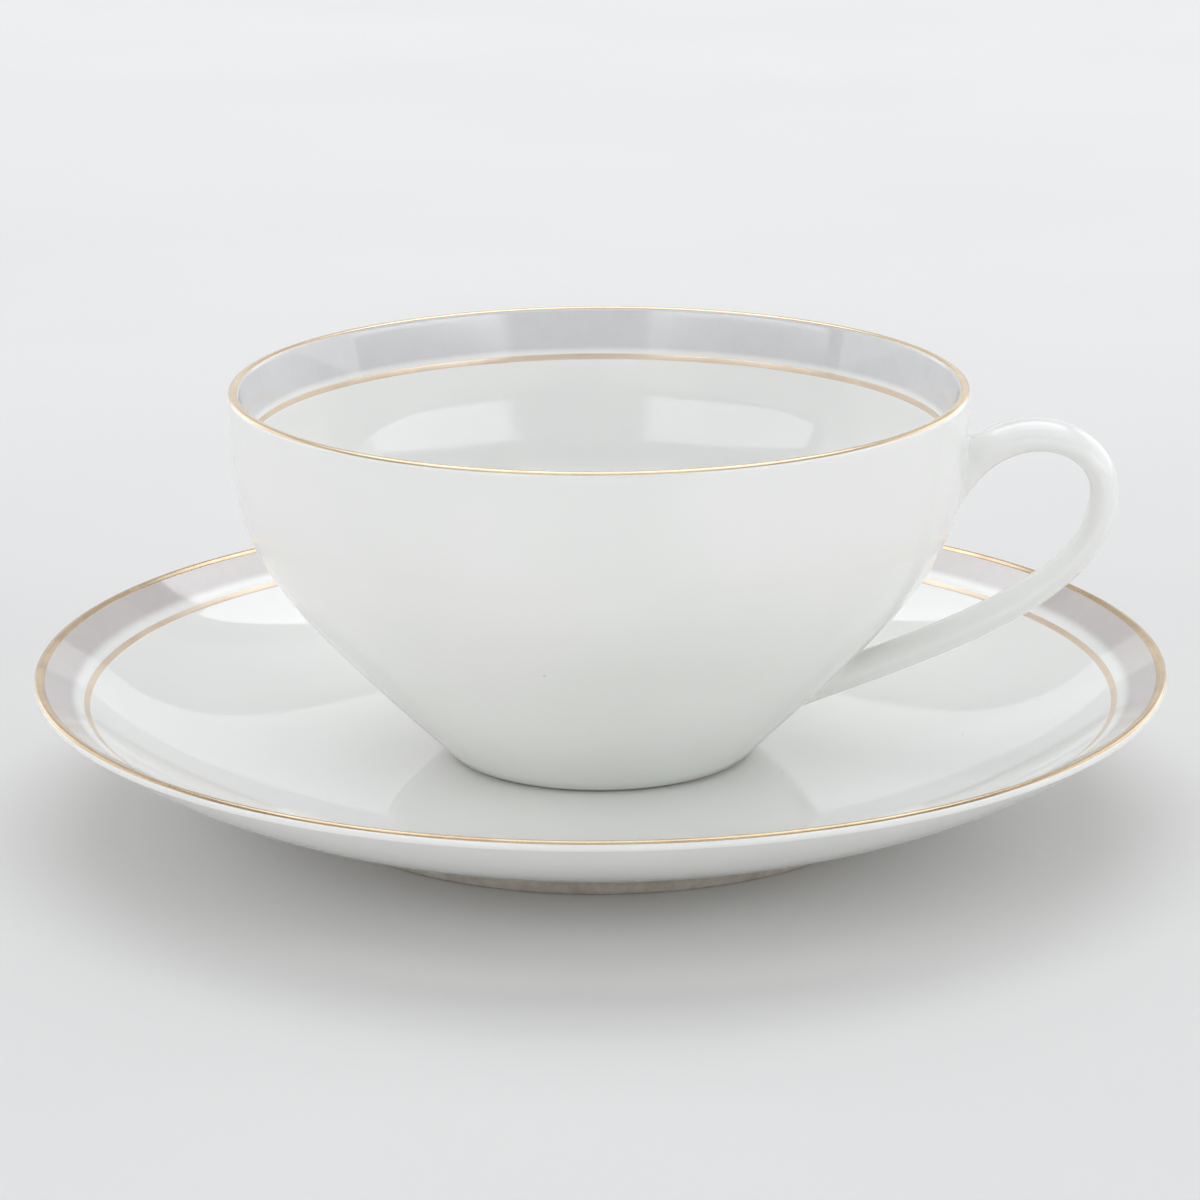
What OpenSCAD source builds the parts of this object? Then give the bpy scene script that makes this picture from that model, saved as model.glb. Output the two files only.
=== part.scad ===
// Porcelain teacup on its saucer. The saucer's axis is Z, the table is z = 0 and the handle lies along +X.

/* [Saucer] */
// Outside diameter of the saucer
saucer_d = 154; // [150:0.5:160]
// Height of the saucer's rim above the table
saucer_h = 20.15; // [19.5:0.05:21]
// Height of the flat well that the cup stands in
well_h = 7.3; // [6.8:0.1:7.8]
// Diameter of the flat well
well_d = 48; // [46:1:54]
// Slope of the sloping border, in degrees from level
border_slope = 33; // [30:1:35]
// Thickness of the rounded rim
saucer_rim_t = 1.4; // [1.2:0.1:1.6]
// Outside diameter of the saucer's foot ring
saucer_foot_d = 81; // [78:0.5:84]
// Width of the saucer's foot ring
saucer_foot_w = 2.9; // [2.4:0.1:3.6]
// Height of the saucer's foot ring below the plate
saucer_foot_h = 2; // [1.6:0.1:2.4]
// Height of the underside inside the foot ring
saucer_recess_h = 3.6; // [3:0.1:4]

/* [Cup] */
// Outside diameter of the cup's rim
cup_d = 99.5; // [96:0.5:103]
// Height of the cup above the saucer's well
cup_h = 51.2; // [50:0.1:53]
// Thickness of the rounded lip
lip_t = 1.55; // [1.3:0.05:1.8]
// Lean of the inner wall below the lip, in degrees from upright
inner_lean = 12; // [10:0.5:13]
// Thickness of the cup's floor above its hollow base
floor_t = 2.2; // [1.8:0.1:2.6]
// Depth of the hollow under the cup's base
base_hollow = 1.4; // [1:0.1:1.8]
// Outside diameter of the cup's bare foot ring
cup_foot_d = 40.4; // [38:0.2:41]
// Width of the cup's bare foot ring
cup_foot_w = 2.3; // [1.8:0.1:3]
// Height of the cup's bare foot ring
cup_foot_h = 0.6; // [0.5:0.1:0.8]

/* [Handle] */
// Reach of the handle's centreline from the cup's axis
handle_reach = 67.75; // [66:0.25:70]
// Height above the cup's foot at which the handle reaches furthest
handle_reach_h = 37.3; // [36:0.1:38.5]
// Height of the upper root's centre above the cup's foot
upper_root_h = 40.1; // [39:0.1:41]
// Rise of the handle where it leaves the upper root, in degrees
upper_root_rise = 50; // [46:1:54]
// Height of the lower root's centre above the cup's foot
lower_root_h = 9.6; // [9:0.1:11]
// Rise of the handle where it leaves the lower root, in degrees
lower_root_rise = 21.5; // [20:0.5:24]
// Thickness of the handle at the upper root
upper_root_t = 4.9; // [4.4:0.1:5.2]
// Thickness of the handle where it reaches furthest
handle_t = 3.8; // [3.4:0.1:4.4]
// Thickness of the handle at the lower root
lower_root_t = 4.1; // [3.6:0.1:4.4]
// Breadth of the handle, across its thickness
handle_b = 7.2; // [6:0.1:8]
// Thickness of the slip that fixes each root to the wall
slip_t = 0.5; // [0.3:0.05:0.8]
// How much wider the slip is on the wall than the handle is
slip_spread = 1.25; // [1.1:0.05:1.35]

/* [Decoration] */
// Depth to which each decoration is let into the glaze
skin_t = 0.12; // [0.1:0.01:0.2]
// Width of the fine gold lines
gold_line_w = 0.75; // [0.6:0.05:1]
// Distance from the saucer's rim in to the middle of its gold line
saucer_line_in = 7.05; // [6.9:0.05:7.2]
// Distance from the saucer's rim in to the inner edge of its grey band
saucer_band_in = 6; // [5:0.1:6.2]
// Distance from the saucer's rim in to the inner edge of its gilding
saucer_gilding_in = 1.5; // [1.2:0.05:3.4]
// Depth of the cup's gold line below its rim
cup_line_depth = 7; // [6.8:0.1:7.2]
// Depth of the grey band's lower edge below the cup's rim
cup_band_depth = 6.3; // [4:0.1:6.5]
// Angle round each rim at which its gilding ends outside, in degrees above level
gilding_end = 38; // [20:1:60]
// Angle round the cup's lip at which its gilding ends inside, in degrees from level
cup_gilding_from = 132; // [110:1:160]

/* [Hidden] */

$fn = 120;
porcelain = [0.93, 0.94, 0.93];
bare_clay = [0.80, 0.77, 0.72];
gold = [0.83, 0.69, 0.42];
band_grey = [0.77, 0.76, 0.75];

// Segments along each curve and round each lip
CURVE_STEPS = 22;
LIP_STEPS = 8;
// Points round the handle, and rings along it
HANDLE_SIDES = 28;
HANDLE_RINGS = 52;
// Halvings used to find where a line along the handle meets the wall
SEARCH_STEPS = 20;
// Length of the straight run that carries the handle's centreline on into the wall
LEAD_IN = 10;

// ---- plane curves, as [radius, height] points ----

function mix(a, b, s) = a + (b - a) * s;
function ease(s) = s * s * (3 - 2 * s);
function polar(origin, length, angle) = origin + length * [cos(angle), sin(angle)];
function bezier(p, s) =
    mix(mix(mix(p[0], p[1], s), mix(p[1], p[2], s), s),
        mix(mix(p[1], p[2], s), mix(p[2], p[3], s), s), s);
function bezier_run(p, s) =
    mix(mix(p[1] - p[0], p[2] - p[1], s), mix(p[2] - p[1], p[3] - p[2], s), s);
function curve(p, steps = CURVE_STEPS) = [for (i = [0:steps]) bezier(p, i / steps)];
function arc(centre, radius, from, to, steps = LIP_STEPS) =
    [for (i = [0:steps]) polar(centre, radius, mix(from, to, i / steps))];
function reversed(list) = [for (i = [len(list) - 1:-1:0]) list[i]];

module turned(outline) {
    rotate_extrude() polygon(outline);
}

// ---- saucer outline ----

saucer_r = saucer_d / 2;
saucer_lip = saucer_rim_t / 2;
saucer_lip_at = [saucer_r - saucer_lip, saucer_h - saucer_lip];
border_up = 90 + border_slope;
// Angle round the rim at which the underside begins
under_from = -56;
border_end = polar(saucer_lip_at, saucer_lip, border_up);
saucer_line_r = saucer_r - saucer_line_in;
saucer_band_r = saucer_r - saucer_band_in;
saucer_gilding_r = saucer_r - saucer_gilding_in;
// The border starts this far inside the gold line
border_start_r = saucer_line_r - 0.75;
saucer_foot_r = saucer_foot_d / 2;
saucer_foot_in = saucer_foot_r - saucer_foot_w;

// Point of the sloping border at radius r, sunk square to it by depth
function border(r, depth = 0) =
    polar([r, border_end[1] - (border_end[0] - r) * tan(border_slope)], -depth, border_up);

dish_curve = [
    [well_d / 2, well_h],
    [well_d / 2 + 22, well_h],
    polar(border(border_start_r), -12, border_slope),
    border(border_start_r)
];
under_curve = [
    polar(saucer_lip_at, saucer_lip, under_from),
    polar(polar(saucer_lip_at, saucer_lip, under_from), -17.5, 37),
    [saucer_foot_r + 11.7, saucer_foot_h + 4.4],
    [saucer_foot_r, saucer_foot_h]
];
saucer_line = [saucer_line_r - gold_line_w / 2, saucer_line_r + gold_line_w / 2];

// Closed outline of a skin let into the border between radii from and to
function border_skin(from, to) =
    [border(from), border(to), border(to, skin_t), border(from, skin_t)];

// ---- cup outline, from the cup's own foot ----

cup_r = cup_d / 2;
lip = lip_t / 2;
lip_at = [cup_r - lip, cup_h - lip];
inner_up = 180 - inner_lean;
inner_top = polar(lip_at, lip, inner_up);
cup_foot_r = cup_foot_d / 2;
cup_foot_in = cup_foot_r - cup_foot_w;
cup_line_h = cup_h - cup_line_depth;
band_low_h = cup_h - cup_band_depth;
// The straight inner wall ends this far below the gold line
inner_wall_h = cup_line_h - 0.75;
floor_h = base_hollow + floor_t;

// Point of the straight inner wall at height h, sunk square to it by depth
function inner_wall(h, depth = 0) =
    polar([inner_top[0] - (inner_top[1] - h) * tan(inner_lean), h], -depth, inner_up);

outer_curve = [
    [cup_r, lip_at[1]],
    [0.993 * cup_r, 0.58 * cup_h],
    [0.967 * cup_r, 0.537 * cup_h],
    [cup_foot_r + 0.75, 0.5]
];
outer_wall = curve(outer_curve, CURVE_STEPS + 8);
// Where the inner wall passes into the floor's curve
inner_turn = [0.472 * cup_r, 0.147 * cup_h];
inner_curve = [
    inner_wall(inner_wall_h),
    [0.917 * cup_r, 0.645 * cup_h],
    inner_turn + [0.382 * cup_r, 0.367 * cup_h],
    inner_turn
];
floor_curve = [
    inner_turn,
    inner_turn - [0.056 * cup_r, 0.054 * cup_h],
    [0.3 * cup_r, floor_h],
    [0.14 * cup_r, floor_h]
];

// Closed outline of a skin let into the inner wall between heights from and to
function wall_skin(from, to) =
    [inner_wall(from), inner_wall(to), inner_wall(to, skin_t), inner_wall(from, skin_t)];

// The round lip at a depth, from its outer end to the gilding's inner edge and on to the inner wall
function gilded_lip(depth) = arc(lip_at, lip - depth, gilding_end, cup_gilding_from);
function grey_lip(depth) = arc(lip_at, lip - depth, cup_gilding_from, inner_up);

// ---- handle: lines along it are found from wall to wall ----

handle_outline = [for (p = outer_wall) [p[1], p[0]]];
function wall_r(h) = lookup(h, handle_outline);

upper_root = [wall_r(upper_root_h), upper_root_h];
lower_root = [wall_r(lower_root_h), lower_root_h];
handle_far = [handle_reach, handle_reach_h];
upper_curve = [
    upper_root,
    polar(upper_root, 10.9, upper_root_rise),
    handle_far + [0, 7.7],
    handle_far
];
lower_curve = [
    handle_far,
    handle_far - [0, 11.9],
    polar(lower_root, 24.7, lower_root_rise),
    lower_root
];

// Station s is 0 at the upper root, 1 at the furthest reach and 2 at the lower root
function centreline(s) =
    s < 0 ? polar(upper_root, s * LEAD_IN, upper_root_rise) :
    s < 1 ? bezier(upper_curve, s) :
    s < 2 ? bezier(lower_curve, s - 1) :
    polar(lower_root, (2 - s) * LEAD_IN, lower_root_rise);
function heading(s) =
    let (run = s < 1 ? bezier_run(upper_curve, max(s, 0)) : bezier_run(lower_curve, min(s, 2) - 1))
    run / norm(run);
function half_thickness(s) = 0.5 * (s < 1
    ? mix(upper_root_t, handle_t, ease(max(s, 0)))
    : mix(handle_t, lower_root_t, ease(min(s, 2) - 1)));

// Point on the handle's skin at station s, at an angle round its oval section scaled by grow
function handle_point(s, angle, grow) =
    let (c = centreline(s), d = heading(s), out = grow * half_thickness(s) * cos(angle))
    [c[0] - d[1] * out, grow * handle_b / 2 * sin(angle), c[1] + d[0] * out];
function in_wall(p, proud) = norm([p[0], p[1]]) < wall_r(p[2]) + proud;
// Station at which that line leaves the wall, which stands proud by the given amount
function leaves(inside, outside, angle, grow, proud, steps = SEARCH_STEPS) =
    let (s = (inside + outside) / 2)
    steps == 0 ? s :
    in_wall(handle_point(s, angle, grow), proud)
        ? leaves(s, outside, angle, grow, proud, steps - 1)
        : leaves(inside, s, angle, grow, proud, steps - 1);
function upper_end(angle, grow, proud) = leaves(-1, 0.7, angle, grow, proud);
function lower_end(angle, grow, proud) = leaves(3, 1.3, angle, grow, proud);

side_angles = [for (i = [0:HANDLE_SIDES - 1]) 360 * i / HANDLE_SIDES];
handle_ends = [for (a = side_angles) [upper_end(a, 1, slip_t), lower_end(a, 1, slip_t)]];
function handle_ring(share) =
    [for (i = [0:HANDLE_SIDES - 1])
        handle_point(mix(handle_ends[i][0], handle_ends[i][1], share), side_angles[i], 1)];
function upper_ring(grow, proud) =
    [for (a = side_angles) handle_point(upper_end(a, grow, proud), a, grow)];
function lower_ring(grow, proud) =
    [for (a = side_angles) handle_point(lower_end(a, grow, proud), a, grow)];
function upper_middle(proud) = handle_point(upper_end(0, 0, proud), 0, 0);
function lower_middle(proud) = handle_point(lower_end(0, 0, proud), 0, 0);

// Closed skin through a list of equal rings, with a fan to a middle point over each end
module skin(rings, first_middle, last_middle) {
    sides = len(rings[0]);
    last = (len(rings) - 1) * sides;
    middles = len(rings) * sides;
    points = concat([for (ring = rings) each ring], [first_middle, last_middle]);
    walls = [for (j = [0:len(rings) - 2], i = [0:sides - 1])
        let (a = j * sides + i, b = j * sides + (i + 1) % sides)
        each [[a, b + sides, a + sides], [a, b, b + sides]]];
    first_fan = [for (i = [0:sides - 1]) [middles, (i + 1) % sides, i]];
    last_fan = [for (i = [0:sides - 1]) [middles + 1, last + i, last + (i + 1) % sides]];
    polyhedron(points, concat(walls, first_fan, last_fan));
}

// The slip thins out from the handle's own section to its spread edge on the wall
slip_steps = [[1, 1], [mix(1, slip_spread, 0.3), 0.45], [slip_spread, 0]];

module on_seat() {
    translate([0, 0, well_h]) children();
}

// ---- saucer ----

module saucer_plate() {
    color(porcelain) turned(concat(
        [[0, saucer_recess_h], [0, well_h]],
        curve(dish_curve),
        [border(saucer_line[0]), border(saucer_line[0], skin_t)],
        [border(saucer_line[1], skin_t), border(saucer_line[1])],
        [border(saucer_band_r), border(saucer_band_r, skin_t)],
        arc(saucer_lip_at, saucer_lip - skin_t, border_up, gilding_end),
        arc(saucer_lip_at, saucer_lip, gilding_end, under_from),
        [for (i = [1:CURVE_STEPS]) bezier(under_curve, i / CURVE_STEPS)],
        [[saucer_foot_in, saucer_foot_h], [saucer_foot_in - 1, saucer_recess_h]]
    ));
}

module saucer_foot_ring() {
    // Small bevels leave a flat ground face at the table
    color(bare_clay) turned([
        [saucer_foot_in, saucer_foot_h],
        [saucer_foot_in + 0.3, 0.4],
        [saucer_foot_in + 0.7, 0],
        [saucer_foot_r - 0.6, 0],
        [saucer_foot_r - 0.15, 0.45],
        [saucer_foot_r, saucer_foot_h]
    ]);
}

module saucer_rim_gilding() {
    color(gold) turned(concat(
        [border(saucer_gilding_r)],
        arc(saucer_lip_at, saucer_lip, border_up, gilding_end),
        arc(saucer_lip_at, saucer_lip - skin_t, gilding_end, border_up),
        [border(saucer_gilding_r, skin_t)]
    ));
}

module saucer_grey_band() {
    color(band_grey) turned(border_skin(saucer_band_r, saucer_gilding_r));
}

module saucer_gold_line() {
    color(gold) turned(border_skin(saucer_line[0], saucer_line[1]));
}

// ---- cup ----

module cup_bowl() {
    color(porcelain) on_seat() turned(concat(
        [[0, base_hollow]],
        [[cup_foot_in - 0.7, base_hollow], [cup_foot_in, cup_foot_h], [cup_foot_r, cup_foot_h]],
        [[cup_foot_r + 0.15, 0.4], [cup_foot_r + 0.5, 0.3]],
        reversed(outer_wall),
        [for (i = [1:LIP_STEPS]) polar(lip_at, lip, mix(0, gilding_end, i / LIP_STEPS))],
        gilded_lip(skin_t),
        grey_lip(skin_t),
        [inner_wall(band_low_h, skin_t), inner_wall(band_low_h)],
        [inner_wall(cup_line_h + gold_line_w / 2)],
        [inner_wall(cup_line_h + gold_line_w / 2, skin_t)],
        [inner_wall(cup_line_h - gold_line_w / 2, skin_t)],
        [inner_wall(cup_line_h - gold_line_w / 2)],
        curve(inner_curve),
        [for (i = [1:LIP_STEPS]) bezier(floor_curve, i / LIP_STEPS)],
        [[0, floor_h]]
    ));
}

module cup_foot_ring() {
    // The ring's ground face stands flat on the saucer's well
    color(bare_clay) on_seat() turned([
        [cup_foot_in, cup_foot_h],
        [cup_foot_in + 0.1, 0.2],
        [cup_foot_in + 0.4, 0],
        [cup_foot_r - 0.4, 0],
        [cup_foot_r - 0.1, 0.2],
        [cup_foot_r, cup_foot_h]
    ]);
}

module cup_rim_gilding() {
    color(gold) on_seat() turned(concat(gilded_lip(0), reversed(gilded_lip(skin_t))));
}

module cup_grey_band() {
    color(band_grey) on_seat() turned(concat(
        grey_lip(0),
        [inner_wall(band_low_h), inner_wall(band_low_h, skin_t)],
        reversed(grey_lip(skin_t))
    ));
}

module cup_gold_line() {
    color(gold) on_seat()
        turned(wall_skin(cup_line_h - gold_line_w / 2, cup_line_h + gold_line_w / 2));
}

// ---- handle and the slip that fixes it ----

module handle() {
    color(porcelain) on_seat() skin(
        [for (j = [0:HANDLE_RINGS]) handle_ring(j / HANDLE_RINGS)],
        upper_middle(slip_t), lower_middle(slip_t));
}

module handle_upper_slip() {
    color(porcelain) on_seat() skin(
        [for (step = reversed(slip_steps)) upper_ring(step[0], step[1] * slip_t)],
        upper_middle(0), upper_middle(slip_t));
}

module handle_lower_slip() {
    color(porcelain) on_seat() skin(
        [for (step = slip_steps) lower_ring(step[0], step[1] * slip_t)],
        lower_middle(slip_t), lower_middle(0));
}

saucer_plate();
saucer_foot_ring();
saucer_rim_gilding();
saucer_grey_band();
saucer_gold_line();
cup_bowl();
cup_foot_ring();
cup_rim_gilding();
cup_grey_band();
cup_gold_line();
handle();
handle_upper_slip();
handle_lower_slip();
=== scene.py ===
"""A glazed porcelain teacup on its saucer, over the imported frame.

Each turned or swept piece stands for one CAD node and keeps to its size. Outlines are in millimetres, as
(radius, height) points, and become metres when a mesh is made.
"""

import math

import bpy
import numpy as np
from mathutils import Matrix, Quaternion, Vector


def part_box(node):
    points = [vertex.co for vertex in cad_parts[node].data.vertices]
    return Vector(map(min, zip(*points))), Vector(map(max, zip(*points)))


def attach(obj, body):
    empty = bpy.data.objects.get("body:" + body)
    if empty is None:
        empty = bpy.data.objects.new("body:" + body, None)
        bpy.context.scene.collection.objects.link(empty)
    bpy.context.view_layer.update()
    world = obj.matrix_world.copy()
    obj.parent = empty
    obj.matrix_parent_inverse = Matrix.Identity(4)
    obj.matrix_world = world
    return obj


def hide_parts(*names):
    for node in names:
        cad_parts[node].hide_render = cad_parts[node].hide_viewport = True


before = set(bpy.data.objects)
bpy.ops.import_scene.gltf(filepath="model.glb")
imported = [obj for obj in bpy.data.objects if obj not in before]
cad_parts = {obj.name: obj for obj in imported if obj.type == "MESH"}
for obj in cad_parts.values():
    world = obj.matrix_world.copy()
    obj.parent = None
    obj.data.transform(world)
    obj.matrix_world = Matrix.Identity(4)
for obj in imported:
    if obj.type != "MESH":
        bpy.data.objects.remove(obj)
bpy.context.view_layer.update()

MM = 0.001
SEGMENTS = 288  # facets round each turned piece
CURVE_STEPS = 40
LIP_STEPS = 14
HANDLE_SIDES = 56
HANDLE_RINGS = 150
FILLET_STEPS = 9
SHARP_ANGLE = math.radians(40)


# ---- driving dimensions, from the frame where it gives them ----


def reach(node, axis):
    """Furthest extent of a CAD node along an axis, in millimetres."""
    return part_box(node)[1][axis] / MM


def base(node):
    """Lowest height of a CAD node, in millimetres."""
    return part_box(node)[0][2] / MM


saucer_r = reach("saucer_plate", 0)
saucer_h = reach("saucer_rim_gilding", 2)
saucer_foot_r = reach("saucer_foot_ring", 0)
saucer_foot_h = reach("saucer_foot_ring", 2)
well_h = base("cup_foot_ring")
cup_r = reach("cup_bowl", 0)
cup_h = reach("cup_rim_gilding", 2) - well_h
cup_foot_r = reach("cup_foot_ring", 0)
cup_foot_h = reach("cup_foot_ring", 2) - well_h

SKIN = 0.12  # depth to which each decoration is let into the glaze
GILDING_END = 38  # where both rims' gilding ends outside, in degrees above level
CUP_GILDING_FROM = 132  # where the cup's gilding ends inside, in degrees round the lip

WELL_R = 24
BORDER_SLOPE = 33
SAUCER_LIP = 0.7
UNDER_FROM = -56
SAUCER_FOOT_W = 2.9
SAUCER_RECESS_H = 3.6
LINE_W = 0.75
SAUCER_BAND_W = 4.5

LIP = 0.775
INNER_LEAN = 12
FLOOR_T = 2.2
BASE_HOLLOW = 1.4
CUP_FOOT_W = 2.3

HANDLE_REACH = 67.75
HANDLE_REACH_H = 37.3
UPPER_ROOT_H = 40.1
LOWER_ROOT_H = 9.6
UPPER_RISE = 50
LOWER_RISE = 21.5
HANDLE_T = (4.9, 3.8, 4.1)  # thickness at the upper root, the furthest reach and the lower root
HANDLE_B = 7.2

# A decoration's seat is cut square to its wall, so its solid reaches a little past its visible edge
border_cut = SKIN * math.sin(math.radians(BORDER_SLOPE))
wall_cut = SKIN * math.sin(math.radians(INNER_LEAN))
saucer_line_out = reach("saucer_gold_line", 0) - border_cut
saucer_band_out = reach("saucer_grey_band", 0) - border_cut
cup_line_top = reach("cup_gold_line", 2) - well_h
cup_line_low = base("cup_gold_line") + wall_cut - well_h
cup_band_low = base("cup_grey_band") + wall_cut - well_h


# ---- plane curves ----


def polar(origin, length, degrees):
    turn = math.radians(degrees)
    return np.asarray(origin) + length * np.array((math.cos(turn), math.sin(turn)))


def bezier(points, s):
    """Points of a cubic Bezier at the shares s."""
    a, b, c, d = (np.asarray(p, float) for p in points)
    s = np.asarray(s, float)[..., None]
    t = 1 - s
    return a * t**3 + 3 * b * t**2 * s + 3 * c * t * s**2 + d * s**3


def curve(points, steps=CURVE_STEPS):
    return bezier(points, np.linspace(0, 1, steps + 1))


def arc(centre, radius, start, end, steps=LIP_STEPS):
    return np.array([polar(centre, radius, a) for a in np.linspace(start, end, steps + 1)])


def run(start, end, steps):
    """Points on a straight line, so that a long face has some rings to bend at."""
    return np.linspace(start, end, steps + 1)


# ---- saucer outline ----

saucer_lip_at = np.array((saucer_r - SAUCER_LIP, saucer_h - SAUCER_LIP))
border_up = 90 + BORDER_SLOPE
border_end = polar(saucer_lip_at, SAUCER_LIP, border_up)
saucer_line_in = saucer_line_out - LINE_W
saucer_band_in = saucer_band_out - SAUCER_BAND_W
border_start_r = saucer_line_in - 0.375


def border(r, proud=0.0):
    """Point of the sloping border at radius r, raised square to it."""
    z = border_end[1] - (border_end[0] - r) * math.tan(math.radians(BORDER_SLOPE))
    return polar((r, z), proud, border_up)


border_start = border(border_start_r)
dish_curve = (
    (WELL_R, well_h),
    (WELL_R + 22, well_h),
    polar(border_start, -12, BORDER_SLOPE),
    border_start,
)
under_start = polar(saucer_lip_at, SAUCER_LIP, UNDER_FROM)
under_curve = (
    under_start,
    polar(under_start, -17.5, 37),
    (saucer_foot_r + 11.7, saucer_foot_h + 4.4),
    (saucer_foot_r, saucer_foot_h),
)

# ---- cup outline, from the cup's own foot ----

lip_at = np.array((cup_r - LIP, cup_h - LIP))
inner_up = 180 - INNER_LEAN
inner_top = polar(lip_at, LIP, inner_up)
floor_h = BASE_HOLLOW + FLOOR_T


def inner_wall(h, proud=0.0):
    """Point of the straight inner wall at height h, raised square to it."""
    r = inner_top[0] - (inner_top[1] - h) * math.tan(math.radians(INNER_LEAN))
    return polar((r, h), proud, inner_up)


outer_curve = (
    (cup_r, lip_at[1]),
    (0.993 * cup_r, 0.58 * cup_h),
    (0.967 * cup_r, 0.537 * cup_h),
    (cup_foot_r + 0.75, 0.5),
)
outer_wall = curve(outer_curve, CURVE_STEPS + 20)
inner_turn = np.array((0.472 * cup_r, 0.147 * cup_h))
inner_curve = (
    inner_wall((cup_line_low + cup_line_top) / 2 - 0.75),
    (0.917 * cup_r, 0.645 * cup_h),
    inner_turn + (0.382 * cup_r, 0.367 * cup_h),
    inner_turn,
)
floor_curve = (
    inner_turn,
    inner_turn - (0.056 * cup_r, 0.054 * cup_h),
    (0.3 * cup_r, floor_h),
    (0.14 * cup_r, floor_h),
)


# ---- the small departures from true that firing leaves ----


def saucer_warp(points):
    """Moves points of the saucer by the hundredths of a millimetre that it sagged in the kiln."""
    x, y, z = points.T
    angle = np.arctan2(y, x)
    out = np.clip((np.hypot(x, y) - 40) / 37, 0, 1) ** 2
    lift = out * (0.05 * np.cos(2 * angle + 0.7) + 0.03 * np.cos(3 * angle - 1.1))
    return np.stack((x, y, z + lift), axis=-1)


def cup_warp(points):
    """Makes the cup's mouth a few hundredths of a millimetre out of round."""
    x, y, z = points.T
    angle = np.arctan2(y, x)
    up = np.clip((z - well_h) / cup_h, 0, 1) ** 2
    swell = 1 + up * (0.05 * np.cos(2 * angle) + 0.02 * np.cos(3 * angle + 0.9)) / cup_r
    return np.stack((x * swell, y * swell, z), axis=-1)


# ---- mesh making ----


def make_piece(name, points, faces, body, warp):
    """A smooth mesh piece from points in millimetres, riding on a body."""
    mesh = bpy.data.meshes.new(name)
    mesh.from_pydata((warp(points) * MM).tolist(), [], faces)
    mesh.validate()
    mesh.shade_smooth()
    mesh.set_sharp_from_angle(angle=SHARP_ANGLE)
    piece = bpy.data.objects.new(name, mesh)
    bpy.context.scene.collection.objects.link(piece)
    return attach(piece, body)


def turned(name, outline, body, warp, lift=0.0, wander=None):
    """A closed outline of (radius, height) turned round Z, counter-clockwise in that plane.

    Points on the axis close to one vertex. wander(angle, outline) may shift the outline round the turn.
    """
    outline = np.asarray(outline, float) + (0, lift)
    on_axis = outline[:, 0] < 1e-6
    points = []
    rings = []
    for angle in np.linspace(0, 2 * math.pi, SEGMENTS, endpoint=False):
        shape = outline if wander is None else wander(angle, outline)
        row = []
        for i, (r, z) in enumerate(shape):
            if on_axis[i] and rings:
                row.append(rings[0][i])
                continue
            row.append(len(points))
            points.append((r * math.cos(angle), r * math.sin(angle), z))
        rings.append(row)
    faces = []
    count = len(outline)
    for a, b in zip(rings, rings[1:] + rings[:1]):
        for i in range(count):
            j = (i + 1) % count
            corners = [a[i], b[i], b[j], a[j]]
            face = [v for k, v in enumerate(corners) if v != corners[k - 1]]
            if len(face) > 2:
                faces.append(face)
    return make_piece(name, np.array(points), faces, body, warp)


def brushed_edge(seed, amount):
    """A hand-banded line's edge: a smooth wander round the turn, in millimetres."""
    rng = np.random.default_rng(seed)
    waves = np.array((3, 5, 8, 13, 21, 34, 55))
    sizes = amount * rng.uniform(0.4, 1, len(waves)) / np.sqrt(waves)
    phases = rng.uniform(0, 2 * math.pi, len(waves))
    return lambda angle: float(np.sum(sizes * np.cos(waves * angle + phases)))


def banded(along, proud, seed, amount):
    """wander() for a painted band, whose section lists shares along the band and heights above the glaze.

    along(share, low, high, proud) gives the (radius, height) point. Share is 0 and 1 at the band's edges,
    and low and high shift those edges.
    """
    low_edge = brushed_edge(seed, amount)
    high_edge = brushed_edge(seed + 1, amount)

    def wander(angle, outline):
        low, high = low_edge(angle), high_edge(angle)
        return np.array([along(s, low, high, p) for s, p in proud])

    return wander


# Section of a fired gold line: a low dome whose edges sink into the glaze, closed underneath
GOLD_DOME = [
    (1.0, -0.01), (0.94, 0.008), (0.8, 0.013), (0.5, 0.015), (0.2, 0.013), (0.06, 0.008), (0.0, -0.01),
]
GOLD_SECTION = [(0.12, -0.9 * SKIN), (0.88, -0.9 * SKIN)] + GOLD_DOME
GOLD_LAP = 0.05  # how far the brushed gold laps over the edge of its seat


# ---- materials ----

GLAZE_IOR = 1.54
ENAMEL_IOR = 1.75  # the lead-rich enamel mirrors more than the glaze under it


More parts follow.
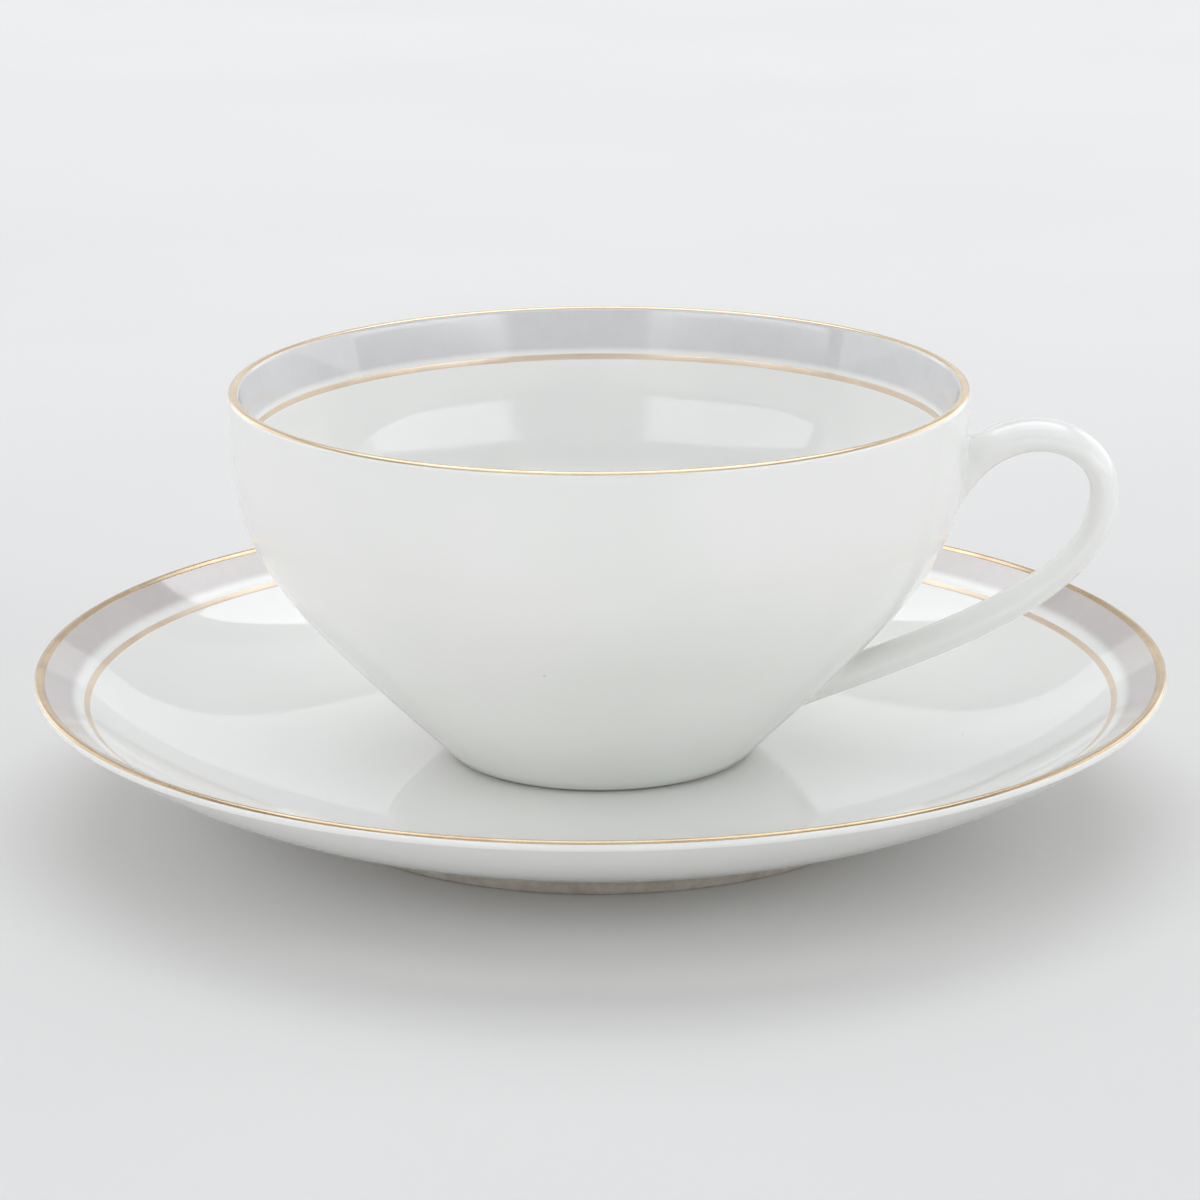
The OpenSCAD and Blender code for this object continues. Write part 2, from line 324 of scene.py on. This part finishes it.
class Shader:
    """A small helper to build a node tree: call it with a node type, its inputs and its settings."""

    def __init__(self, name):
        self.material = bpy.data.materials.new(name)
        self.material.use_nodes = True
        self.tree = self.material.node_tree
        self.principled = self.tree.nodes["Principled BSDF"]

    def add(self, kind, inputs=None, **settings):
        node = self.tree.nodes.new("ShaderNode" + kind)
        for key, value in settings.items():
            setattr(node, key, value)
        for key, value in (inputs or {}).items():
            self.feed(node, key, value)
        return node

    def feed(self, node, key, value):
        socket = node.inputs[key]
        if isinstance(value, bpy.types.NodeSocket):
            self.tree.links.new(value, socket)
        else:
            socket.default_value = value

    def surface(self, **inputs):
        for key, value in inputs.items():
            self.feed(self.principled, key.replace("_", " "), value)

    def place(self):
        return self.add("TexCoord").outputs["Object"]

    def noise(self, size, detail, roughness=0.5):
        """Noise whose largest features are about size millimetres."""
        inputs = {
            "Vector": self.place(),
            "Scale": 1 / (size * MM),
            "Detail": detail,
            "Roughness": roughness,
        }
        return self.add("TexNoise", inputs, noise_dimensions="3D").outputs["Fac"]

    def math(self, operation, a, b=0.0, c=0.0, clamp=False):
        node = self.add("Math", operation=operation, use_clamp=clamp)
        for i, value in enumerate((a, b, c)):
            self.feed(node, i, value)
        return node.outputs[0]

    def span(self, value, start, end, low=0.0, high=1.0):
        """low to high, smoothly, as value goes from start to end."""
        inputs = {"Value": value, "From Min": start, "From Max": end, "To Min": low, "To Max": high}
        return self.add("MapRange", inputs, interpolation_type="SMOOTHSTEP", clamp=True).outputs[0]

    def blend(self, share, a, b):
        """Colour a, going over to b as share goes from 0 to 1."""
        node = self.add("Mix", data_type="RGBA", blend_type="MIX")
        self.feed(node, 0, share)
        self.feed(node, 6, a)
        self.feed(node, 7, b)
        return node.outputs[2]

    def bump(self, height, depth, under=None):
        """Bump whose height 0 to 1 is depth millimetres."""
        inputs = {"Height": height, "Distance": depth * MM, "Strength": 1.0}
        if under is not None:
            inputs["Normal"] = under
        return self.add("Bump", inputs).outputs["Normal"]

    def axis_radius(self):
        """Distance from the Z axis and height, in metres."""
        split = self.add("SeparateXYZ", {"Vector": self.place()})
        x, y, z = split.outputs
        flat = self.math("ADD", self.math("MULTIPLY", x, x), self.math("MULTIPLY", y, y))
        return self.math("SQRT", flat), z


PORCELAIN = (0.925, 0.925, 0.90, 1)
PORCELAIN_POOLED = (0.895, 0.905, 0.875, 1)
SAUCER_GREY = (0.605, 0.563, 0.548, 1)
SAUCER_GREY_PALE = (0.655, 0.612, 0.596, 1)
CUP_GREY = (0.69, 0.685, 0.69, 1)
CUP_GREY_PALE = (0.74, 0.735, 0.74, 1)
RIM_GOLD = (0.88, 0.71, 0.48, 1)
RIM_GOLD_THIN = (0.80, 0.62, 0.42, 1)
# The saucer rim's gold is a darker copy of the rim gold: painted shade for the dark room that its gilding
# reflects
SAUCER_GOLD_PAINTED_SHADE = (0.72, 0.56, 0.36, 1)
SAUCER_GOLD_THIN_PAINTED_SHADE = (0.60, 0.44, 0.28, 1)
LINE_GOLD = (0.84, 0.69, 0.53, 1)
LINE_GOLD_THIN = (0.74, 0.58, 0.44, 1)
BARE_CLAY = (0.62, 0.57, 0.50, 1)
TABLE = (0.82, 0.81, 0.795, 1)
TABLE_SHADE = (0.80, 0.79, 0.775, 1)
SPECK = (0.42, 0.38, 0.33, 1)
ENAMEL_GRAIN = (0.36, 0.35, 0.34, 1)
WORN_GOLD = (0.84, 0.79, 0.72, 1)
CLAY_STAIN = (0.50, 0.44, 0.37, 1)


def porcelain_colour(m):
    """Glaze over a white body: slightly greener where it pooled, with rare tiny specks."""
    pooled = m.span(m.noise(34, 2), 0.42, 0.68)
    colour = m.blend(pooled, PORCELAIN, PORCELAIN_POOLED)
    cells = m.add("TexVoronoi", {"Vector": m.place(), "Scale": 1 / (9 * MM)}, feature="F1")
    speck = m.span(cells.outputs["Distance"], 0.014, 0.03, 0.35, 0.0)
    chosen = m.span(m.noise(21, 0), 0.60, 0.62)
    return m.blend(m.math("MULTIPLY", speck, chosen), colour, SPECK)


def glaze_finish(m, roughness, ior):
    """The glaze's gloss: broad waves, fine orange peel and pinholes, with faint use marks in the polish."""
    waves = m.bump(m.noise(15, 1), 0.022)
    peel = m.bump(m.noise(1.6, 2), 0.0008, under=waves)
    pits = m.add("TexVoronoi", {"Vector": m.place(), "Scale": 1 / (3.1 * MM)}, feature="F1")
    pit = m.span(pits.outputs["Distance"], 0.0, 0.045)
    normal = m.bump(pit, 0.0015, under=peel)
    rubbed = m.span(m.noise(5, 4, 0.65), 0.45, 0.75, roughness, roughness + 0.04)
    m.surface(Roughness=rubbed, Normal=normal, IOR=ior)


def make_porcelain():
    m = Shader("porcelain_glazed")
    m.surface(Base_Color=porcelain_colour(m))
    glaze_finish(m, 0.03, GLAZE_IOR)
    return m.material


def make_grey_band(name, fade, grey, pale):
    """Grey enamel fired on the glaze. fade(m) is 0 where the plain glaze begins and 1 in the full grey."""
    m = Shader(name)
    mottle = m.span(m.noise(2.2, 4, 0.6), 0.35, 0.7)
    cloud = m.noise(26, 2)
    share = m.math("MULTIPLY_ADD", mottle, 0.35, m.math("MULTIPLY", cloud, 0.6), clamp=True)
    enamel = m.blend(share, grey, pale)
    grain = m.span(m.noise(0.35, 2), 0.55, 0.8, 0.0, 0.08)
    enamel = m.blend(grain, enamel, ENAMEL_GRAIN)
    m.surface(Base_Color=m.blend(fade(m), porcelain_colour(m), enamel))
    glaze_finish(m, 0.05, ENAMEL_IOR)
    return m.material


def make_gold(name, thick, thin, metallic):
    """Fired gold, burnished: browner where it is thin, with fine rubbing and rare pale wear."""
    m = Shader(name)
    uneven = m.span(m.noise(9, 3, 0.55), 0.40, 0.75)
    colour = m.blend(uneven, thick, thin)
    worn = m.span(m.noise(1.6, 3, 0.6), 0.70, 0.80)
    colour = m.blend(m.math("MULTIPLY", worn, 0.4), colour, WORN_GOLD)
    rubbed = m.noise(5, 2, 0.5)
    m.surface(
        Base_Color=colour,
        Metallic=m.span(worn, 0.0, 1.0, metallic, 0.5 * metallic),
        Roughness=m.span(rubbed, 0.3, 0.75, 0.20, 0.27),
        Normal=m.bump(m.noise(1.5, 2), 0.0006),
    )
    return m.material


def make_bare_clay():
    """Ground, unglazed porcelain: matt, finely pitted, stained a little at its edges."""
    m = Shader("clay_ground")
    stain = m.span(m.noise(3, 5, 0.7), 0.4, 0.7)
    colour = m.blend(stain, BARE_CLAY, CLAY_STAIN)
    grit = m.bump(m.noise(0.3, 4, 0.7), 0.02)
    m.surface(
        Base_Color=colour,
        Roughness=m.span(m.noise(0.8, 3), 0.3, 0.7, 0.62, 0.85),
        Normal=grit,
    )
    return m.material


def saucer_fade(m):
    radius, _ = m.axis_radius()
    soft = m.math("MULTIPLY_ADD", m.noise(1.2, 4, 0.6), 0.3 * MM, radius)
    return m.span(soft, (saucer_band_in + 0.15) * MM, (saucer_band_in + 1.5) * MM)


def cup_fade(m):
    _, height = m.axis_radius()
    low = (well_h + cup_band_low) * MM
    soft = m.math("MULTIPLY_ADD", m.noise(1.2, 4, 0.6), 0.25 * MM, height)
    return m.span(soft, low + 0.12 * MM, low + 0.95 * MM)


glazed = make_porcelain()
saucer_grey = make_grey_band("enamel_grey_saucer", saucer_fade, SAUCER_GREY, SAUCER_GREY_PALE)
cup_grey = make_grey_band("enamel_grey_cup", cup_fade, CUP_GREY, CUP_GREY_PALE)
gold_rim = make_gold("gold_rim", RIM_GOLD, RIM_GOLD_THIN, 0.7)
# A darker copy of the rim gold for the saucer's rim: painted shade standing in for dark reflections in its
# gilding
gold_saucer_painted_shade = make_gold("gold_rim_saucer_painted_shade", SAUCER_GOLD_PAINTED_SHADE, SAUCER_GOLD_THIN_PAINTED_SHADE, 0.8)
gold_line = make_gold("gold_line", LINE_GOLD, LINE_GOLD_THIN, 0.34)
clay = make_bare_clay()


def finish_piece(piece, node, material):
    piece.data.materials.append(material)
    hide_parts(node)
    return piece


# ---- saucer pieces ----

saucer_outline = np.concatenate((
    run((0, SAUCER_RECESS_H), (saucer_foot_r - SAUCER_FOOT_W - 1, SAUCER_RECESS_H), 10),
    [(saucer_foot_r - SAUCER_FOOT_W - 0.4, SAUCER_RECESS_H - 0.35)],
    [(saucer_foot_r - SAUCER_FOOT_W, saucer_foot_h), (saucer_foot_r, saucer_foot_h)],
    curve(under_curve)[::-1][1:-1],
    arc(saucer_lip_at, SAUCER_LIP, UNDER_FROM, GILDING_END),
    arc(saucer_lip_at, SAUCER_LIP - SKIN, GILDING_END, border_up),
    [border(saucer_band_in, -SKIN), border(saucer_band_in)],
    [border(saucer_line_out), border(saucer_line_out, -SKIN)],
    [border(saucer_line_in, -SKIN), border(saucer_line_in)],
    curve(dish_curve)[::-1],
    run((WELL_R, well_h), (0, well_h), 8)[1:],
))
saucer_body = turned("saucer_body", saucer_outline, "saucer", saucer_warp)
finish_piece(saucer_body, "saucer_plate", glazed)

saucer_foot_in = saucer_foot_r - SAUCER_FOOT_W
saucer_foot_outline = [
    (saucer_foot_in, saucer_foot_h),
    (saucer_foot_in + 0.16, 1.1),
    (saucer_foot_in + 0.3, 0.4),
    (saucer_foot_in + 0.42, 0.12),
    (saucer_foot_in + 0.7, 0),
    (saucer_foot_r - 0.6, 0),
    (saucer_foot_r - 0.32, 0.12),
    (saucer_foot_r - 0.15, 0.45),
    (saucer_foot_r - 0.05, 1.2),
    (saucer_foot_r, saucer_foot_h),
]
saucer_foot = turned("saucer_foot", saucer_foot_outline, "saucer", saucer_warp)
finish_piece(saucer_foot, "saucer_foot_ring", clay)

saucer_band_outline = np.concatenate((
    [border(saucer_band_in, -SKIN), border(saucer_band_out, -SKIN)],
    run(border(saucer_band_out), border(saucer_band_in), 10),
))
saucer_band = turned("saucer_band", saucer_band_outline, "saucer", saucer_warp)
finish_piece(saucer_band, "saucer_grey_band", saucer_grey)


def on_border(share, low, high, proud):
    inner = saucer_line_in - GOLD_LAP + low
    outer = saucer_line_out + GOLD_LAP + high
    return border(inner + (outer - inner) * share, proud)


saucer_line = turned(
    "saucer_line", [on_border(s, 0, 0, p) for s, p in GOLD_SECTION], "saucer", saucer_warp,
    wander=banded(on_border, GOLD_SECTION, 11, 0.012),
)
finish_piece(saucer_line, "saucer_gold_line", gold_line)


def on_saucer_rim(share, low, high, proud):
    """Round the rim from the border, share 0, to the gilding's outer edge, share 1."""
    flat = border_end[0] - saucer_band_out + GOLD_LAP + low
    round_to = GILDING_END - math.degrees((high + GOLD_LAP) / SAUCER_LIP)
    length = flat + SAUCER_LIP * math.radians(border_up - round_to)
    at = share * length
    if at < flat:
        return border(border_end[0] - flat + at, proud)
    return polar(saucer_lip_at, SAUCER_LIP + proud, border_up - math.degrees((at - flat) / SAUCER_LIP))


def rim_section(steps):
    """A gilded rim's section: a thin even coat that thins to nothing at both edges."""
    top = [(s, 0.02 * min(1, 12 * s * (1 - s)) ** 0.5 - 0.004) for s in np.linspace(1, 0, steps)]
    under = [(s, -0.9 * SKIN) for s in np.linspace(0.1, 0.97, steps // 2)]
    return under + top


RIM_SECTION = rim_section(18)
saucer_rim = turned(
    "saucer_rim", [on_saucer_rim(s, 0, 0, p) for s, p in RIM_SECTION], "saucer", saucer_warp,
    wander=banded(on_saucer_rim, RIM_SECTION, 21, 0.02),
)
# The saucer's rim gilding takes the darker gold copy, whose colour holds painted shade
finish_piece(saucer_rim, "saucer_rim_gilding", gold_saucer_painted_shade)

# ---- cup pieces ----

cup_foot_in = cup_foot_r - CUP_FOOT_W
cup_outline = np.concatenate((
    run((0, BASE_HOLLOW), (cup_foot_in - 0.7, BASE_HOLLOW), 6),
    [(cup_foot_in - 0.2, BASE_HOLLOW - 0.3), (cup_foot_in, cup_foot_h), (cup_foot_r, cup_foot_h)],
    [(cup_foot_r + 0.15, 0.4), (cup_foot_r + 0.42, 0.34)],
    outer_wall[::-1],
    arc(lip_at, LIP, 0, GILDING_END)[1:],
    arc(lip_at, LIP - SKIN, GILDING_END, CUP_GILDING_FROM),
    arc(lip_at, LIP - SKIN, CUP_GILDING_FROM, inner_up)[1:],
    [inner_wall(cup_band_low, -SKIN), inner_wall(cup_band_low)],
    [inner_wall(cup_line_top), inner_wall(cup_line_top, -SKIN)],
    [inner_wall(cup_line_low, -SKIN), inner_wall(cup_line_low)],
    curve(inner_curve),
    curve(floor_curve, LIP_STEPS)[1:],
    run((0.14 * cup_r, floor_h), (0, floor_h), 3)[1:],
))
cup_body = turned("cup_body", cup_outline, "cup", cup_warp, lift=well_h)
finish_piece(cup_body, "cup_bowl", glazed)

cup_foot_outline = [
    (cup_foot_in, cup_foot_h),
    (cup_foot_in + 0.1, 0.2),
    (cup_foot_in + 0.18, 0.07),
    (cup_foot_in + 0.4, 0),
    (cup_foot_r - 0.4, 0),
    (cup_foot_r - 0.18, 0.07),
    (cup_foot_r - 0.1, 0.2),
    (cup_foot_r, cup_foot_h),
]
cup_foot = turned("cup_foot", cup_foot_outline, "cup", cup_warp, lift=well_h)
finish_piece(cup_foot, "cup_foot_ring", clay)

cup_band_outline = np.concatenate((
    arc(lip_at, LIP, CUP_GILDING_FROM, inner_up),
    run(inner_top, inner_wall(cup_band_low), 10)[1:],
    [inner_wall(cup_band_low, -SKIN)],
    arc(lip_at, LIP - SKIN, inner_up, CUP_GILDING_FROM),
))
cup_band = turned("cup_band", cup_band_outline, "cup", cup_warp, lift=well_h)
finish_piece(cup_band, "cup_grey_band", cup_grey)


def on_inner_wall(share, low, high, proud):
    bottom = cup_line_low - GOLD_LAP + low
    top = cup_line_top + GOLD_LAP + high
    return inner_wall(bottom + (top - bottom) * share, proud) + (0, well_h)


cup_line = turned(
    "cup_line", [on_inner_wall(s, 0, 0, p) for s, p in GOLD_SECTION], "cup", cup_warp,
    wander=banded(on_inner_wall, GOLD_SECTION, 31, 0.012),
)
finish_piece(cup_line, "cup_gold_line", gold_line)


def on_cup_rim(share, low, high, proud):
    """Over the lip from outside, share 1, to the gilding's inner edge, share 0."""
    inner = CUP_GILDING_FROM + math.degrees((low + GOLD_LAP) / LIP)
    outer = GILDING_END - math.degrees((high + GOLD_LAP) / LIP)
    return polar(lip_at + (0, well_h), LIP + proud, inner + (outer - inner) * share)


cup_rim = turned(
    "cup_rim", [on_cup_rim(s, 0, 0, p) for s, p in RIM_SECTION], "cup", cup_warp,
    wander=banded(on_cup_rim, RIM_SECTION, 41, 0.015),
)
finish_piece(cup_rim, "cup_rim_gilding", gold_rim)

# ---- handle: rails along it are followed until they meet the wall ----

SEARCH_STEPS = 30
HANDLE_LEAD = 10.0  # how far the centreline runs on, straight, past each root

wall_heights = outer_wall[::-1, 1]
wall_radii = outer_wall[::-1, 0]


def wall_r(h):
    return np.interp(h, wall_heights, wall_radii)


upper_root = np.array((wall_r(UPPER_ROOT_H), UPPER_ROOT_H))
lower_root = np.array((wall_r(LOWER_ROOT_H), LOWER_ROOT_H))
handle_far = np.array((HANDLE_REACH, HANDLE_REACH_H))
upper_curve = (
    upper_root,
    polar(upper_root, 10.9, UPPER_RISE),
    handle_far + (0, 7.7),
    handle_far,
)
lower_curve = (
    handle_far,
    handle_far - (0, 11.9),
    polar(lower_root, 24.7, LOWER_RISE),
    lower_root,
)


def centreline(s):
    """Points at stations s: 0 at the upper root, 1 at the furthest reach, 2 at the lower root."""
    s = np.asarray(s, float)
    before = polar(upper_root, 1, UPPER_RISE) - upper_root
    after = polar(lower_root, 1, LOWER_RISE) - lower_root
    at = np.where(
        (s < 1)[..., None],
        bezier(upper_curve, np.clip(s, 0, 1)),
        bezier(lower_curve, np.clip(s, 1, 2) - 1),
    )
    ahead_of_start = np.minimum(s, 0)[..., None]
    past_end = np.minimum(2 - s, 0)[..., None]
    return at + HANDLE_LEAD * (ahead_of_start * before + past_end * after)


def heading(s):
    step = 1e-3
    ahead = centreline(np.asarray(s) + step) - centreline(np.asarray(s) - step)
    return ahead / np.linalg.norm(ahead, axis=-1, keepdims=True)


def ease(s):
    s = np.clip(s, 0, 1)
    return s * s * (3 - 2 * s)


def half_thickness(s):
    upper, middle, lower = HANDLE_T
    return 0.5 * (upper + (middle - upper) * ease(s) + (lower - middle) * ease(np.asarray(s) - 1))


def handle_point(s, angle, grow=1.0):
    """Points of the oval skin at stations s and angles round it, in the cup's frame."""
    centre = centreline(s)
    along = heading(s)
    out = grow * half_thickness(s) * np.cos(angle)
    x = centre[..., 0] - along[..., 1] * out
    z = centre[..., 1] + along[..., 0] * out
    y = grow * HANDLE_B / 2 * np.sin(angle) + 0 * x
    return np.stack((x, y, z), axis=-1)


def leaves(inside, outside, angle, grow, proud):
    """Stations at which each rail gets proud millimetres clear of the wall."""
    inside = np.full(angle.shape, float(inside))
    outside = np.full(angle.shape, float(outside))
    for _ in range(SEARCH_STEPS):
        middle = (inside + outside) / 2
        p = handle_point(middle, angle, grow)
        sunk = np.hypot(p[..., 0], p[..., 1]) < wall_r(p[..., 2]) + proud
        inside = np.where(sunk, middle, inside)
        outside = np.where(sunk, outside, middle)
    return (inside + outside) / 2


sides = np.linspace(0, 2 * math.pi, HANDLE_SIDES, endpoint=False)
UPPER_SEARCH = (-1, 0.7)
LOWER_SEARCH = (3, 1.3)


def skin(name, rings):
    """A closed skin on the cup through equal rings, with a fan over each end."""
    rings = np.array(rings)
    count = rings.shape[1]
    points = np.concatenate((rings.reshape(-1, 3), [rings[0].mean(0)], [rings[-1].mean(0)]))
    last = (len(rings) - 1) * count
    first_middle, last_middle = len(rings) * count, len(rings) * count + 1
    faces = []
    for j in range(len(rings) - 1):
        for i in range(count):
            a, b = j * count + i, j * count + (i + 1) % count
            faces.append((a, a + count, b + count, b))
    for i in range(count):
        j = (i + 1) % count
        faces.append((first_middle, i, j))
        faces.append((last_middle, last + j, last + i))
    return make_piece(name, points + (0, 0, well_h), faces, "cup", cup_warp)


SUNK = -0.35  # the loop ends this far inside the wall
start = leaves(*UPPER_SEARCH, sides, 1.0, SUNK)
end = leaves(*LOWER_SEARCH, sides, 1.0, SUNK)
handle_rings = [handle_point(start + (end - start) * t, sides) for t in np.linspace(0, 1, HANDLE_RINGS + 1)]
handle_loop = skin("handle_loop", handle_rings)
finish_piece(handle_loop, "handle", glazed)


def fillet(search, radius, spread):
    """Rings of the slip from the handle's skin down to the wall, on a hollow curve, closed behind."""
    rings = []
    for turn in np.linspace(90, 0, FILLET_STEPS + 1):
        t = math.radians(turn)
        grow = 1.002 + spread * (1 - math.sin(t))
        proud = radius * (1 - math.cos(t)) - 0.02
        rings.append(handle_point(leaves(*search, sides, grow, proud), sides, grow))
    under = leaves(*search, sides, 0.9, -0.25)
    rings.append(handle_point(under, sides, 0.9))
    return rings


upper_slip = skin("handle_slip_upper", fillet(UPPER_SEARCH, 2.1, 0.34)[::-1])
finish_piece(upper_slip, "handle_upper_slip", glazed)
lower_slip = skin("handle_slip_lower", fillet(LOWER_SEARCH, 1.7, 0.26))
finish_piece(lower_slip, "handle_lower_slip", glazed)

# ---- floor, camera and lights ----

TABLE_SIZE = 8.0
SOFTBOX_SHEETS = 4
SOFTBOX_EDGE = 0.09
DAYLIGHT = (0.95, 0.97, 1.0)
WALL = (0.97, 0.98, 1.0)
AMBIENT = 0.27


def floor(name, size, material):
    """A level square sheet, size metres wide, round the origin."""
    w = size / 2
    mesh = bpy.data.meshes.new(name)
    mesh.from_pydata([(-w, -w, 0), (w, -w, 0), (w, w, 0), (-w, w, 0)], [], [(0, 1, 2, 3)])
    sheet = bpy.data.objects.new(name, mesh)
    mesh.materials.append(material)
    bpy.context.scene.collection.objects.link(sheet)


def make_table():
    m = Shader("table_pale")
    cloud = m.span(m.noise(160, 3), 0.3, 0.7)
    m.surface(
        Base_Color=m.blend(cloud, TABLE, TABLE_SHADE),
        Roughness=0.8,
        Specular_IOR_Level=0.0,
    )
    return m.material


floor("table", TABLE_SIZE, make_table())

CAMERA_AZIMUTH = math.radians(5)
CAMERA_ELEVATION = math.radians(16.06)
CAMERA_DISTANCE = 0.5595
CAMERA_LENS = 123.05
CAMERA_LEAN = 0.0051  # radians of roll
CAMERA_AIM_H = 28.02  # height that the camera looks at, in millimetres

middle = Vector((0, 0, CAMERA_AIM_H * MM))
back = Vector((
    math.sin(CAMERA_AZIMUTH) * math.cos(CAMERA_ELEVATION),
    -math.cos(CAMERA_AZIMUTH) * math.cos(CAMERA_ELEVATION),
    math.sin(CAMERA_ELEVATION),
))
across = Vector((math.cos(CAMERA_AZIMUTH), math.sin(CAMERA_AZIMUTH), 0))

camera_data = bpy.data.cameras.new("camera")
camera_data.lens = CAMERA_LENS
camera_data.sensor_width = 36
camera_data.clip_start = 0.01
camera_data.clip_end = 20
camera = bpy.data.objects.new("camera", camera_data)
bpy.context.scene.collection.objects.link(camera)
camera.location = middle + back * CAMERA_DISTANCE
camera.rotation_mode = "QUATERNION"
camera.rotation_quaternion = Quaternion(back, -CAMERA_LEAN) @ back.to_track_quat("Z", "Y")
bpy.context.scene.camera = camera

world = bpy.data.worlds.new("studio")
bpy.context.scene.world = world
world.use_nodes = True
world.node_tree.nodes["Background"].inputs["Color"].default_value = (*DAYLIGHT, 1)
world.node_tree.nodes["Background"].inputs["Strength"].default_value = AMBIENT


def area_light(name, centre, sideways, upwards, size, power, colour):
    """A rectangular light, which shines against the direction of sideways x upwards."""
    data = bpy.data.lights.new(name, "AREA")
    data.shape = "RECTANGLE"
    data.size, data.size_y = size
    data.energy = power
    data.color = colour
    light = bpy.data.objects.new(name, data)
    light.location = centre
    light.rotation_mode = "QUATERNION"
    axes = Matrix((sideways, upwards, sideways.cross(upwards))).transposed()
    light.rotation_quaternion = axes.to_quaternion()
    light.visible_camera = False
    bpy.context.scene.collection.objects.link(light)
    return light


def standing_light(name, azimuth, distance, span, heights, power, colour):
    """A light that stands upright."""
    a = math.radians(azimuth)
    sideways = Vector((math.cos(a), math.sin(a), 0))
    centre = Vector((math.sin(a), -math.cos(a), 0)) * distance + sideways * sum(span) / 2
    centre.z = sum(heights) / 2
    size = (span[1] - span[0], heights[1] - heights[0])
    return area_light(name, centre, sideways, Vector((0, 0, 1)), size, power, colour)


def softbox(name, azimuth, distance, span, heights, power, colour):
    """A standing light that dims towards its edges: sheets of equal power, each a little smaller."""
    for i in range(SOFTBOX_SHEETS):
        inset = SOFTBOX_EDGE * i / (SOFTBOX_SHEETS - 1)
        narrower = (span[0] + inset, span[1] - inset)
        lower = (heights[0] + inset / 4, heights[1] - inset / 2)
        at = distance + 0.001 * i
        standing_light(f"{name}_{i}", azimuth, at, narrower, lower, power / SOFTBOX_SHEETS, colour)


def overhead_light(name, height, span, depth, power, colour):
    """A level light over the cup; span runs to the camera's right and depth away from the camera."""
    away = Vector((0, 0, 1)).cross(across)
    centre = across * sum(span) / 2 + away * sum(depth) / 2
    centre.z = height
    size = (span[1] - span[0], depth[1] - depth[0])
    return area_light(name, centre, across, away, size, power, colour)


softbox("softbox_right", 37, 1.0, (-0.03, 1.62), (0.236, 0.73), 5.4, DAYLIGHT)
softbox("softbox_left", -20, 1.0, (-1.62, 0.17), (0.250, 0.80), 5.2, DAYLIGHT)
overhead_light("softbox_back", 1.3, (-0.74, 0.74), (0.6, 1.30), 7.2, DAYLIGHT)
overhead_light("softbox_overhead", 1.3, (-0.74, 0.74), (-0.1, 0.6), 4.0, DAYLIGHT)
overhead_light("softbox_front", 1.3, (-0.74, 0.74), (-1.1, -0.5), 2.6, DAYLIGHT)
standing_light("front_low", 5, 1.6, (-1.2, 1.2), (0.02, 0.22), 3.0, WALL)
standing_light("wall_back_foot", 185, 1.5, (-1.7, 1.7), (0.02, 0.34), 1.5, WALL)
standing_light("wall_back_strip", 185, 1.5, (-1.7, 1.7), (0.34, 0.60), 2.0, WALL)
standing_light("wall_back_top", 185, 1.5, (-1.7, 1.7), (0.60, 1.15), 1.3, WALL)
standing_light("wall_right", 125, 1.5, (-0.9, 0.9), (0.02, 1.2), 6.6, WALL)
standing_light("wall_left", -115, 1.5, (-0.9, 0.9), (0.02, 1.2), 5.8, WALL)

bpy.context.scene.view_settings.view_transform = "Standard"
